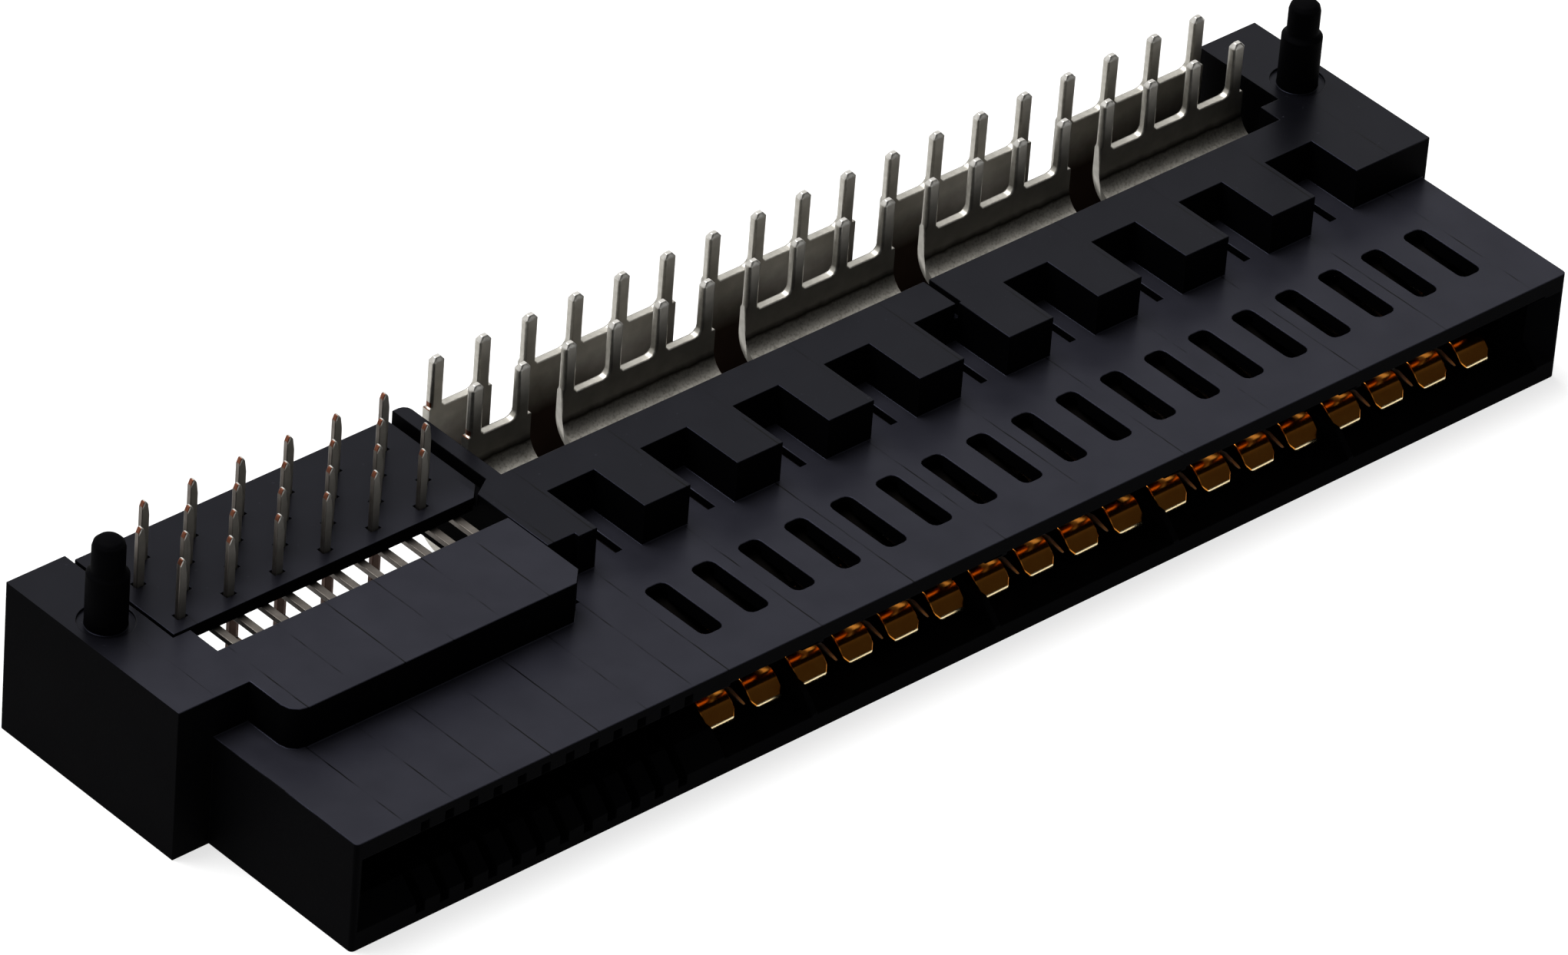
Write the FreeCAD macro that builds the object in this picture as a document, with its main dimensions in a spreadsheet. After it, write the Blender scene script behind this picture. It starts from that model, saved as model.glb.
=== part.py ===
import FreeCAD, Part
import os
import re
import Sketcher

# Right-angle power and signal card-edge connector, lying with its solder tails up.
# In the sketches X runs along the shroud from the outer face of the left end block,
# Y runs back from the mating face and Z up from the underside, in millimetres.
# Every finished piece is then placed with the middle of the underside at the origin.

doc = FreeCAD.newDocument("card_edge_connector")

# Driving dimensions, in millimetres, and counts
SIZES = {
    # contact grid along X, measured from the shroud's left end
    "signal_inset": 3.6,         # shroud end to the first signal cavity
    "signal_pitch": 1.27,
    "signal_count": 12,
    "power_gap": 3.39,           # last signal cavity to the first power beam
    "power_pitch": 2.54,
    "first_bay_beams": 2,
    "bay_beams": 4,
    "full_bays": 4,
    "power_inset": 3.36,         # last power beam to the shroud's right end
    # outer form
    "left_overhang": 1.9,        # left end block beyond the shroud
    "right_overhang": 0.2,       # right end block beyond the shroud
    "overall_depth": 20.0,
    "shroud_height": 5.4,
    "seat_height": 7.4,          # plane that meets the circuit board
    "front_round": 0.2,          # radius at the mating face's two ends
    "block_front": 8.95,         # mating face to the end blocks
    "left_block_inner": 2.04,    # shroud end to the left block's inner face
    "right_block_inner": 4.17,   # right block's inner face to the shroud end
    "right_recess_inner": 3.1,
    "right_recess_front": 15.0,
    "signal_rear": 11.3,         # back face of the spacer block
    "power_rear": 13.8,          # back face of the rear band
    # spacer block above the signal contacts
    "spacer_left": 1.77,
    "spacer_right": 17.4,
    "spacer_front": 6.2,
    "spacer_corner": 0.7,        # chamfer at its right front corner
    "spacer_round": 0.8,         # radius at its left front corner
    # rear band with its teeth
    "band_left": 17.45,
    "band_front": 11.78,
    "tooth_front": 8.6,
    "tooth_step": 0.27,
    "tooth_step_left": 18.9,
    "first_notch_left": 1.06,    # notch's left wall to the left of the first beam
    "notch_width": 2.56,
    "slit_shift": 0.48,          # slit to the right of its beam
    "slit_width": 0.4,
    "slit_front": 8.85,
    "slit_rear": 11.0,
    # partition between the tail bays
    "partition_left": 18.4,
    "partition_right": 19.15,
    "partition_end": 19.9,
    "partition_under": 3.4,
    "partition_turn": 13.3,      # where its left side starts to step back
    "partition_turn_end": 13.9,
    "partition_round": 0.4,
    "band_slit_left": 42.6,      # slit between two lengths of the rear band
    "band_slit_width": 0.3,
    "band_slit_depth": 0.8,
    # card slot
    "mid_height": 2.73,          # middle plane of the card
    "slot_height": 1.74,
    "slot_depth": 8.0,
    "end_wall": 1.2,
    "lead_in": 0.95,
    # signal comb
    "comb_width": 0.45,
    "comb_height": 4.58,
    "comb_depth": 7.2,
    "channel_clearance": 0.06,
    # power bays
    "rib_thickness": 0.3,
    "bay_height": 3.83,
    "bay_depth": 5.9,            # where the bays widen to the contact passages
    "passage_clearance": 0.05,
    # vents over the power beams
    "vent_width": 1.17,
    "vent_front": 2.35,
    "vent_length": 3.87,
    "vent_round": 0.35,
    # locating pegs
    "peg_row": 15.55,
    "left_peg_out": 0.3,         # left peg beyond the shroud's left end
    "right_peg_in": 1.45,        # right peg to the shroud's right end
    "peg_radius": 0.91,
    "peg_nose_radius": 0.715,
    "peg_shoulder": 2.4,
    "peg_height": 4.15,
    "peg_dome": 0.45,            # radius of the nose's rounded end
    "peg_relief_radius": 1.22,
    "peg_relief_depth": 0.12,
    # tail organizer
    "organizer_left": 1.3,
    "organizer_right": 17.8,
    "organizer_front": 13.2,
    "organizer_rear": 19.55,
    "organizer_thickness": 0.65,
    "organizer_corner": 0.65,
    "organizer_gap": 0.15,       # round the plate in its recess
    "tail_hole_clearance": 0.08,
    # power contacts
    "power_sheet": 0.42,
    "beam_width": 1.7,
    "beam_tip_width": 1.25,
    "beam_tip": 1.43,            # mating face to the beam's tip
    "beam_tip_gap": 1.45,        # middle plane to the tip's inner face
    "beam_tip_thickness": 0.2,   # the tip is pressed thinner as a lead-in
    "crown": 2.3,
    "crown_gap": 0.45,
    "crown_radius": 0.78,
    "beam_root": 7.5,
    "flat_gap": 1.86,
    "bend_radius": 1.1,
    "upper_row": 16.9,
    "lower_row": 19.42,
    "tail_shift": 0.68,          # power tails to the left of their beams
    "tail_width": 0.64,
    "tail_point": 0.34,          # height of the pyramid on each tail
    "tail_nose": 0.05,           # half width of the pyramid's flat top
    "tail_foot": 0.36,           # radius at the left foot of a tail
    "tail_heel": 0.12,           # the smaller cut at its right foot
    "web_top": 7.1,
    "power_tail_top": 9.8,
    "cut_tab": 0.1,              # left end of the first contact's web, cut from its strip
    "cut_tab_top": 7.2,
    "web_right_margin": 0.46,
    "web_step": 12.5,            # where the flat widens from web to beams
    "finger_width": 0.2,         # narrow finger between two beams
    "finger_tip": 1.53,
    "finger_tip_gap": 1.18,
    "finger_bend": 2.5,
    "finger_bend_gap": 0.91,
    "finger_thickness": 0.25,
    # signal contacts
    "signal_sheet": 0.25,
    "strip_width": 0.39,
    "signal_tip": 2.0,
    "signal_tip_gap": 1.3,
    "signal_crown": 3.2,
    "signal_crown_gap": 0.3,
    "signal_root": 6.5,
    "signal_flat_gap": 1.6,
    "jog_front": 7.6,
    "jog_rear": 9.6,
    "riser": 10.2,
    "lead_top": 6.72,
    "first_row": 14.05,
    "row_spacing": 1.333,
    "signal_tail_top": 10.27,
    "signal_point": 0.6,         # length of the slope on the right of the tip
    "signal_nick": 0.12,         # small cut on the left of the tip
}

# Places that follow from the driving dimensions
PLACES = {
    "power_count": "first_bay_beams + bay_beams * full_bays",
    "first_power": "signal_inset + (signal_count - 1) * signal_pitch + power_gap",
    "shroud_length": "first_power + (power_count - 1) * power_pitch + power_inset",
    "overall_length": "left_overhang + shroud_length + right_overhang",
    "shroud_right": "left_overhang + shroud_length",
    "first_cavity": "left_overhang + signal_inset",
    "first_beam": "left_overhang + first_power",
    "first_bay": "first_beam - power_pitch / 2",
    "full_bay": "first_bay + first_bay_beams * power_pitch",
    "bay_width": "bay_beams * power_pitch",
    "slot_floor": "mid_height - slot_height / 2",
    "bay_floor": "mid_height - bay_height / 2",
    "bay_ceiling": "mid_height + bay_height / 2",
    "passage_inner": "flat_gap - passage_clearance",
    "passage_outer": "flat_gap + power_sheet + passage_clearance",
    "organizer_under": "seat_height - organizer_thickness",
    "notch_left": "first_beam - first_notch_left",
    "channel_half": "strip_width / 2 + channel_clearance",
    "tail_axis": "power_pitch / 2 - tail_shift",
    "tail_left": "tail_axis - tail_width / 2",
    "beam_side": "(beam_width - beam_tip_width) / 2",
}

sheet = doc.addObject("Spreadsheet::Sheet", "sizes")
for row, (name, size) in enumerate(SIZES.items(), start=1):
    sheet.set("A%d" % row, name.replace("_", " "))
    sheet.set("B%d" % row, str(size))
    sheet.setAlias("B%d" % row, name)
for row, (name, formula) in enumerate(PLACES.items(), start=len(SIZES) + 2):
    sheet.set("A%d" % row, name.replace("_", " "))
    sheet.set("B%d" % row, "=" + formula)
    sheet.setAlias("B%d" % row, name)
doc.recompute()

ALIASES = set(SIZES) | set(PLACES)


# Put the sheet's name before each of its aliases in a formula
def sheet_formula(formula):
    def full(match):
        word = match.group()
        return "sizes." + word if word in ALIASES else word
    return re.sub(r"[a-z]\w*", full, str(formula))


def value(formula):
    return float(sheet.evalExpression(sheet_formula(formula)))


def bind(thing, name, formula):
    thing.setExpression(name, sheet_formula(formula))


# A body whose sketches keep the shared frame; right moves it along X
def new_body(label, right="0"):
    body = doc.addObject("PartDesign::Body", label)
    body.Label = label
    bind(body, "Placement.Base.x", "%s - overall_length / 2" % right)
    bind(body, "Placement.Base.y", "-overall_depth / 2")
    return body


def origin_part(body, role):
    return next(item for item in body.Origin.OriginFeatures if item.Role == role)


# An empty sketch on one of the body's own origin planes, lifted along its normal
def new_sketch(body, name, plane, lift="0"):
    sketch = body.newObject("Sketcher::SketchObject", body.Name + "_" + name)
    sketch.AttachmentSupport = [(origin_part(body, plane), "")]
    sketch.MapMode = "FlatFace"
    bind(sketch, "AttachmentOffset.Base.z", lift)
    return sketch


# Hold one point of the sketch at two formulas, measured from the sketch's origin
def hold_point(sketch, line, end, across, along):
    for kind, axis, formula in (("DistanceX", -2, across), ("DistanceY", -1, along)):
        if formula == "0":
            sketch.addConstraint(Sketcher.Constraint("PointOnObject", line, end, axis))
            continue
        rule = Sketcher.Constraint(kind, -1, 1, line, end, value(formula))
        number = sketch.addConstraint(rule)
        name = "%s%d" % ("across" if kind == "DistanceX" else "along", number)
        sketch.renameConstraint(number, name)
        bind(sketch, "Constraints." + name, formula)


# A closed outline with straight sides through corners given as formulas
def add_outline(sketch, corners):
    first = sketch.GeometryCount
    count = len(corners)
    points = [FreeCAD.Vector(value(across), value(along), 0) for across, along in corners]
    for i in range(count):
        sketch.addGeometry(Part.LineSegment(points[i], points[(i + 1) % count]), False)
    for i in range(count):
        sketch.addConstraint(Sketcher.Constraint("Coincident", first + i, 2, first + (i + 1) % count, 1))
    for i, (across, along) in enumerate(corners):
        hold_point(sketch, first + i, 1, across, along)


def add_rectangle(sketch, left, low, right, high):
    add_outline(sketch, [(left, low), (right, low), (right, high), (left, high)])


# The share of a small corner's radius that its ends and two points between them stand
# in from the corner's two sides, so that three short sides follow the arc
ARC = [("1", "0"), ("(1 - sin(30))", "(1 - cos(30))"), ("(1 - sin(60))", "(1 - cos(60))"), ("0", "1")]


# Points of a rounded corner, from the side along X to the side along Y or back again
def round_corner(across, along, radius, x_way, y_way, back=False):
    points = [("%s %s %s * %s" % (across, x_way, radius, x_share),
               "%s %s %s * %s" % (along, y_way, radius, y_share)) for x_share, y_share in ARC]
    return points[::-1] if back else points


def outline_sketch(body, name, plane, corners, lift="0"):
    sketch = new_sketch(body, name, plane, lift)
    add_outline(sketch, corners)
    return sketch


def pad(body, sketch, length, reverse=False):
    feature = body.newObject("PartDesign::Pad", sketch.Name + "_pad")
    feature.Profile = sketch
    bind(feature, "Length", length)
    feature.Reversed = reverse
    body.Tip = feature
    return feature


# Cut along the sketch plane's normal, or both ways through everything
def pocket(body, sketch, length=None, forward=False):
    feature = body.newObject("PartDesign::Pocket", sketch.Name + "_pocket")
    feature.Profile = sketch
    if length is None:
        feature.Type = "ThroughAll"
        feature.Midplane = True
    else:
        bind(feature, "Length", length)
        feature.Reversed = forward
    body.Tip = feature
    return feature


def repeat(body, feature, role, spacing, count):
    pattern = body.newObject("PartDesign::LinearPattern", feature.Name + "_row")
    pattern.Originals = [feature]
    pattern.Direction = (origin_part(body, role), [""])
    bind(pattern, "Length", "(%s) * (%s - 1)" % (spacing, count))
    bind(pattern, "Occurrences", count)
    body.Tip = pattern
    return pattern


# Names of the body's edges that pass the test
def find_edges(body, test):
    doc.recompute()
    found = []
    for number, edge in enumerate(body.Tip.Shape.Edges, start=1):
        if test(edge):
            found.append("Edge%d" % number)
    return found


def round_edges(body, name, edges, radius):
    base = body.Tip
    feature = body.newObject("PartDesign::Fillet", body.Name + "_" + name)
    feature.Base = (base, edges)
    bind(feature, "Radius", radius)
    body.Tip = feature
    return feature


def near(a, b):
    return abs(a - b) < 1e-4


# The black moulding that holds every contact
housing = new_body("housing")

base_plan = outline_sketch(
    housing, "base", "XY_Plane",
    round_corner("left_overhang", "0", "front_round", "+", "+", back=True)
    + round_corner("shroud_right", "0", "front_round", "-", "+")
    + [
        ("shroud_right", "power_rear"),
        ("left_overhang + partition_right", "power_rear"),
        ("left_overhang + partition_right", "signal_rear"),
        ("left_overhang", "signal_rear"),
    ])
pad(housing, base_plan, "shroud_height")

# End blocks with the board seats; the right one steps back beside the last tails
block_plan = new_sketch(housing, "blocks", "XY_Plane")
add_rectangle(block_plan, "0", "block_front", "left_overhang + left_block_inner", "overall_depth")
add_outline(block_plan, [
    ("shroud_right - right_block_inner", "block_front"),
    ("overall_length", "block_front"),
    ("overall_length", "overall_depth"),
    ("shroud_right - right_recess_inner", "overall_depth"),
    ("shroud_right - right_recess_inner", "right_recess_front"),
    ("shroud_right - right_block_inner", "right_recess_front"),
])
pad(housing, block_plan, "seat_height")

# Spacer block over the signal contacts
spacer_plan = outline_sketch(
    housing, "spacer", "XY_Plane",
    round_corner("left_overhang + spacer_left", "spacer_front", "spacer_round", "+", "+", back=True)
    + [
        ("left_overhang + spacer_right - spacer_corner", "spacer_front"),
        ("left_overhang + spacer_right", "spacer_front + spacer_corner"),
        ("left_overhang + spacer_right", "signal_rear"),
        ("left_overhang + spacer_left", "signal_rear"),
    ], "shroud_height")
pad(housing, spacer_plan, "seat_height - shroud_height")

# Rear band with the tooth beside the partition
band_plan = outline_sketch(housing, "band", "XY_Plane", [
    ("left_overhang + band_left", "tooth_front + tooth_step"),
    ("left_overhang + tooth_step_left", "tooth_front + tooth_step"),
    ("left_overhang + tooth_step_left", "tooth_front"),
    ("notch_left", "tooth_front"),
    ("notch_left", "band_front"),
    ("shroud_right - right_block_inner", "band_front"),
    ("shroud_right - right_block_inner", "power_rear"),
    ("left_overhang + partition_right", "power_rear"),
    ("left_overhang + partition_right", "signal_rear"),
    ("left_overhang + band_left", "signal_rear"),
], "shroud_height")
pad(housing, band_plan, "seat_height - shroud_height")

# The other teeth stand between the notches, one for every two beams
tooth_plan = new_sketch(housing, "tooth", "XY_Plane", "shroud_height")
add_rectangle(tooth_plan, "notch_left + notch_width", "tooth_front",
              "notch_left + 2 * power_pitch", "band_front")
tooth = pad(housing, tooth_plan, "seat_height - shroud_height")
repeat(housing, tooth, "X_Axis", "2 * power_pitch", "power_count / 2 - 1")

# Partition between the two tail bays, with a ledge under the organizer plate
ledge_plan = new_sketch(housing, "ledge", "XY_Plane", "partition_under")
add_rectangle(ledge_plan, "left_overhang + band_left", "signal_rear",
              "left_overhang + partition_right", "partition_end")
pad(housing, ledge_plan, "organizer_under - partition_under")
partition_plan = outline_sketch(
    housing, "partition", "XY_Plane",
    [
        ("left_overhang + band_left", "signal_rear"),
        ("left_overhang + partition_right", "signal_rear"),
    ]
    + round_corner("left_overhang + partition_right", "partition_end", "partition_round",
                   "-", "-", back=True)
    + [
        ("left_overhang + partition_left", "partition_end"),
        ("left_overhang + partition_left", "partition_turn_end"),
        ("left_overhang + band_left", "partition_turn"),
    ], "organizer_under")
pad(housing, partition_plan, "organizer_thickness")

# Card slot along the mating face, with a lead-in all round its mouth
slot_plan = new_sketch(housing, "slot", "XZ_Plane")
add_rectangle(slot_plan, "left_overhang + end_wall", "slot_floor",
              "shroud_right - end_wall", "slot_floor + slot_height")
pocket(housing, slot_plan, "slot_depth")
mouth = find_edges(housing, lambda edge: near(edge.BoundBox.YMax, 0)
                   and edge.BoundBox.ZMin > value("slot_floor") - 1e-3
                   and edge.BoundBox.ZMax < value("slot_floor + slot_height") + 1e-3)
slot = housing.Tip
funnel = housing.newObject("PartDesign::Chamfer", "housing_lead_in")
funnel.Base = (slot, mouth)
bind(funnel, "Size", "lead_in")
housing.Tip = funnel

# Signal comb: one narrow cavity for each pair of signal beams
comb_plan = new_sketch(housing, "comb", "XZ_Plane")
add_rectangle(comb_plan, "first_cavity - comb_width / 2", "mid_height - comb_height / 2",
              "first_cavity + comb_width / 2", "mid_height + comb_height / 2")
comb = pocket(housing, comb_plan, "comb_depth")
repeat(housing, comb, "X_Axis", "signal_pitch", "signal_count")


# Passage of a signal lead, which steps one pitch to the left on its way back
def add_channel(name, floor, ceiling):
    plan = outline_sketch(housing, name, "XY_Plane", [
        ("first_cavity - channel_half", "comb_depth - channel_clearance"),
        ("first_cavity + channel_half", "comb_depth - channel_clearance"),
        ("first_cavity + channel_half", "jog_front"),
        ("first_cavity - signal_pitch + channel_half", "jog_rear"),
        ("first_cavity - signal_pitch + channel_half", "signal_rear"),
        ("first_cavity - signal_pitch - channel_half", "signal_rear"),
        ("first_cavity - signal_pitch - channel_half", "jog_rear"),
        ("first_cavity - channel_half", "jog_front"),
    ], ceiling)
    channel = pocket(housing, plan, "(%s) - (%s)" % (ceiling, floor))
    repeat(housing, channel, "X_Axis", "signal_pitch", "signal_count")


add_channel("upper_channel", "mid_height + signal_flat_gap - channel_clearance",
            "lead_top + channel_clearance")
add_channel("lower_channel", "mid_height - signal_flat_gap - signal_sheet - channel_clearance",
            "mid_height - signal_flat_gap + channel_clearance")


# Power bay: open to the mating face, with a passage above and below for the flat contacts
def add_bay(name, left, beams):
    profile = outline_sketch(housing, name, "YZ_Plane", [
        ("0", "bay_floor"),
        ("bay_depth", "bay_floor"),
        ("bay_depth", "mid_height - passage_outer"),
        ("right_recess_front", "mid_height - passage_outer"),
        ("right_recess_front", "mid_height - passage_inner"),
        ("slot_depth", "mid_height - passage_inner"),
        ("slot_depth", "mid_height + passage_inner"),
        ("right_recess_front", "mid_height + passage_inner"),
        ("right_recess_front", "mid_height + passage_outer"),
        ("bay_depth", "mid_height + passage_outer"),
        ("bay_depth", "bay_ceiling"),
        ("0", "bay_ceiling"),
    ], "%s + rib_thickness / 2" % left)
    return pocket(housing, profile, "(%s) * power_pitch - rib_thickness" % beams, forward=True)


add_bay("first_bay", "first_bay", "first_bay_beams")
bay = add_bay("bay", "full_bay", "bay_beams")
repeat(housing, bay, "X_Axis", "bay_width", "full_bays")

# The last bay runs on to the end of the card slot
end_profile = new_sketch(housing, "bay_end", "YZ_Plane",
                         "full_bay + bay_width * full_bays - rib_thickness")
add_rectangle(end_profile, "0", "bay_floor", "slot_depth", "bay_ceiling")
pocket(housing, end_profile,
       "shroud_right - end_wall - full_bay - bay_width * full_bays + rib_thickness", forward=True)


# Vents through the top wall, one over each power beam
vent_left = "first_beam - vent_width / 2"
vent_right = "first_beam + vent_width / 2"
vent_rear = "vent_front + vent_length"
vent_plan = outline_sketch(
    housing, "vent", "XY_Plane",
    round_corner(vent_right, "vent_front", "vent_round", "-", "+")
    + round_corner(vent_right, vent_rear, "vent_round", "-", "-", back=True)
    + round_corner(vent_left, vent_rear, "vent_round", "+", "-")
    + round_corner(vent_left, "vent_front", "vent_round", "+", "+", back=True),
    "shroud_height")
vent = pocket(housing, vent_plan, "shroud_height - bay_ceiling")
repeat(housing, vent, "X_Axis", "power_pitch", "power_count")

# Slits in the notch floors, through to the upper contacts
slit_plan = new_sketch(housing, "slit", "XY_Plane", "shroud_height")
add_rectangle(slit_plan, "first_beam + slit_shift - slit_width / 2", "slit_front",
              "first_beam + slit_shift + slit_width / 2", "slit_rear")
slit = pocket(housing, slit_plan, "shroud_height - mid_height - passage_outer")
repeat(housing, slit, "X_Axis", "2 * power_pitch", "power_count / 2")

# Slit across the rear band
band_slit_plan = new_sketch(housing, "band_slit", "XY_Plane", "seat_height")
add_rectangle(band_slit_plan, "left_overhang + band_slit_left", "band_front",
              "left_overhang + band_slit_left + band_slit_width", "power_rear")
pocket(housing, band_slit_plan, "band_slit_depth")

# Recess in the left block for the end of the organizer plate
recess_plan = new_sketch(housing, "recess", "XY_Plane", "seat_height")
add_rectangle(recess_plan, "left_overhang + organizer_left - organizer_gap",
              "organizer_front - organizer_gap",
              "left_overhang + left_block_inner", "overall_depth")
pocket(housing, recess_plan, "organizer_thickness")


# A stepped peg with a domed nose, in a shallow round relief of the seat
def add_peg(name, right):
    relief = new_sketch(housing, name + "_relief", "XY_Plane", "seat_height")
    relief.addGeometry(Part.Circle(FreeCAD.Vector(value(right), value("peg_row"), 0),
                                   FreeCAD.Vector(0, 0, 1), value("peg_relief_radius")), False)
    hold_point(relief, 0, 3, right, "peg_row")
    number = relief.addConstraint(Sketcher.Constraint("Radius", 0, value("peg_relief_radius")))
    relief.renameConstraint(number, "radius")
    bind(relief, "Constraints.radius", "peg_relief_radius")
    pocket(housing, relief, "peg_relief_depth")
    profile = outline_sketch(
        housing, name, "XZ_Plane",
        [
            ("0", "seat_height - 2 * peg_relief_depth"),
            ("peg_radius", "seat_height - 2 * peg_relief_depth"),
            ("peg_radius", "seat_height + peg_shoulder"),
            ("peg_nose_radius", "seat_height + peg_shoulder + peg_radius - peg_nose_radius"),
        ]
        + round_corner("peg_nose_radius", "seat_height + peg_height", "peg_dome", "-", "-", back=True)
        + [("0", "seat_height + peg_height")],
        "-peg_row")
    bind(profile, "AttachmentOffset.Base.x", right)
    turned = housing.newObject("PartDesign::Revolution", name + "_turned")
    turned.Profile = profile
    turned.ReferenceAxis = (profile, ["V_Axis"])
    turned.Angle = 360
    housing.Tip = turned


add_peg("left_peg", "left_overhang - left_peg_out")
add_peg("right_peg", "shroud_right - right_peg_in")

# The separate plate that lines up the signal tails
organizer = new_body("tail_organizer")
plate_plan = outline_sketch(organizer, "plate", "XY_Plane", [
    ("left_overhang + organizer_left", "organizer_front"),
    ("left_overhang + organizer_right - organizer_corner", "organizer_front"),
    ("left_overhang + organizer_right", "organizer_front + organizer_corner"),
    ("left_overhang + organizer_right", "organizer_rear"),
    ("left_overhang + organizer_left", "organizer_rear"),
], "organizer_under")
pad(organizer, plate_plan, "organizer_thickness")
for tail_row in range(4):
    start = "first_cavity - signal_pitch * %d" % (1 - tail_row % 2)
    middle = "first_row + row_spacing * %d" % tail_row
    hole_plan = new_sketch(organizer, "holes_%d" % (tail_row + 1), "XY_Plane", "seat_height")
    half_hole = "strip_width / 2 + tail_hole_clearance"
    half_slot = "signal_sheet / 2 + tail_hole_clearance"
    add_rectangle(hole_plan, "%s - (%s)" % (start, half_hole), "%s - (%s)" % (middle, half_slot),
                  "%s + (%s)" % (start, half_hole), "%s + (%s)" % (middle, half_slot))
    hole = pocket(organizer, hole_plan, "organizer_thickness")
    repeat(organizer, hole, "X_Axis", "2 * signal_pitch", "signal_count / 2")


# One stamped and bent power contact, upper or lower, with its beams and solder tails;
# the first of each row ends on the left in a tab where it was cut from its strip
def make_power_contact(label, left, beams, side, tab):
    body = new_body(label, left)
    web_left = "tail_left - cut_tab" if tab else "tail_left"
    row = "upper_row" if side == "+" else "lower_row"
    back = "-" if side == "+" else "+"

    def level(gap):
        return "mid_height %s (%s)" % (side, gap)

    inner_face = "%s %s power_sheet / 2" % (row, side)
    outer_face = "%s %s power_sheet / 2" % (row, back)
    last = "(%s - 1) * power_pitch" % beams
    web_right = "tail_axis + %s + web_right_margin" % last
    beams_left = "power_pitch / 2 - beam_width / 2"
    beams_right = "power_pitch / 2 + %s + beam_width / 2" % last
    profile = outline_sketch(body, "profile", "YZ_Plane", [
        ("beam_tip", level("beam_tip_gap")),
        ("crown", level("crown_gap")),
        ("beam_root", level("flat_gap")),
        (inner_face, level("flat_gap")),
        (inner_face, "power_tail_top - tail_point"),
        ("%s %s tail_nose" % (row, side), "power_tail_top"),
        ("%s %s tail_nose" % (row, back), "power_tail_top"),
        (outer_face, "power_tail_top - tail_point"),
        (outer_face, level("flat_gap + power_sheet")),
        ("beam_root", level("flat_gap + power_sheet")),
        ("crown", level("crown_gap + power_sheet")),
        ("beam_tip", level("beam_tip_gap + beam_tip_thickness")),
    ], web_left)
    pad(body, profile, "%s - (%s)" % (beams_right, web_left))

    places = {
        "outer_bend": [("crown", level("crown_gap"))],
        "inner_bend": [("crown", level("crown_gap + power_sheet"))],
    }
    bends = (inner_face, level("flat_gap")), (outer_face, level("flat_gap + power_sheet"))
    places["web_outer"] = [bends[0] if side == "+" else bends[1]]
    places["web_inner"] = [bends[1] if side == "+" else bends[0]]
    radii = {
        "outer_bend": "crown_radius + power_sheet",
        "inner_bend": "crown_radius",
        "web_outer": "bend_radius + power_sheet",
        "web_inner": "bend_radius",
    }
    for name, corners in places.items():
        spots = [(value(along), value(up)) for along, up in corners]
        edges = find_edges(body, lambda edge: any(
            near(edge.BoundBox.YMin, y) and near(edge.BoundBox.YMax, y)
            and near(edge.BoundBox.ZMin, z) and near(edge.BoundBox.ZMax, z) for y, z in spots))
        round_edges(body, name, edges, radii[name])

    # trim the plan: beams in front, the narrower web behind, and the beam tips' corners
    plan = new_sketch(body, "plan", "XY_Plane")
    add_outline(plan, [
        ("0", "0"),
        ("%s + beam_side" % beams_left, "0"),
        ("%s + beam_side" % beams_left, "beam_tip"),
        (beams_left, "beam_tip + beam_side"),
        (beams_left, "web_step"),
        ("0", "web_step"),
    ])
    far = "%s + power_pitch" % beams_right
    add_outline(plan, [
        (far, "0"),
        (far, "overall_depth"),
        (web_right, "overall_depth"),
        (web_right, "web_step"),
        (beams_right, "web_step"),
        (beams_right, "beam_tip + beam_side"),
        ("%s - beam_side" % beams_right, "beam_tip"),
        ("%s - beam_side" % beams_right, "0"),
    ])
    pocket(body, plan)
    gap_left = "power_pitch / 2 + beam_width / 2"
    gap_right = "power_pitch * 3 / 2 - beam_width / 2"
    gap_plan = outline_sketch(body, "beam_gap", "XY_Plane", [
        ("%s - beam_side" % gap_left, "0"),
        ("%s + beam_side" % gap_right, "0"),
        ("%s + beam_side" % gap_right, "beam_tip"),
        (gap_right, "beam_tip + beam_side"),
        (gap_right, "beam_root - power_sheet"),
        (gap_left, "beam_root - power_sheet"),
        (gap_left, "beam_tip + beam_side"),
        ("%s - beam_side" % gap_left, "beam_tip"),
    ])
    beam_gap = pocket(body, gap_plan)
    repeat(body, beam_gap, "X_Axis", "power_pitch", "(%s)" % beams)

    # a narrow finger in the middle of each gap
    finger = outline_sketch(body, "finger", "YZ_Plane", [
        ("finger_tip", level("finger_tip_gap")),
        ("finger_bend", level("finger_bend_gap")),
        ("beam_root", level("flat_gap")),
        ("beam_root", level("flat_gap + finger_thickness")),
        ("finger_bend", level("finger_bend_gap + finger_thickness")),
    ], "power_pitch - finger_width / 2")
    finger_row = pad(body, finger, "finger_width")
    repeat(body, finger_row, "X_Axis", "power_pitch", "(%s - 1)" % beams)

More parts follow.
